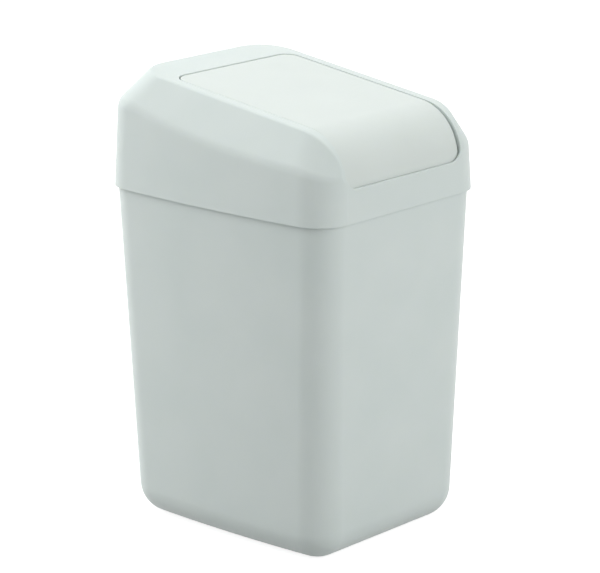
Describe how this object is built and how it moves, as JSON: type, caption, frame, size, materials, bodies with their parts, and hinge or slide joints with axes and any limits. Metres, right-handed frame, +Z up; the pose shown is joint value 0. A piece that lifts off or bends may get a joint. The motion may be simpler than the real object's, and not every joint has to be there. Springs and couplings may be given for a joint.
{
  "type": "swing-lid waste bin",
  "caption": "Tapered plastic kitchen bin with a drop-on hood and a self-closing push flap in the hood's sloping top.",
  "frame": {"origin": "on the floor under the middle of the bin's bounding box", "axes": "+Z up, -Y towards the flap's curved front, X along the flap's hinge line"},
  "size_m": [0.2545, 0.3024, 0.4693],
  "materials": {
    "bin_body": "fine satin moulded polypropylene, pale grey-green white",
    "hood": "fine satin moulded polypropylene, pale grey-green white",
    "flap": "fine satin moulded polypropylene, pale grey-green white"
  },
  "bodies": {
    "bin_body": {"bin_body": "bin_body"},
    "hood": {"hood": "hood"},
    "flap": {"flap": "flap"}
  },
  "joints": [
    {"name": "hood_lift", "type": "slide", "parent": "bin_body", "child": "hood", "axis": [0, 0, 1], "range_m": [0, 0.04]},
    {"name": "flap_swing", "type": "hinge", "parent": "hood", "child": "flap", "pos_m": [0, -0.05998, 0.43103], "axis": [1, 0, 0], "range_deg": [0, 60]}
  ]
}
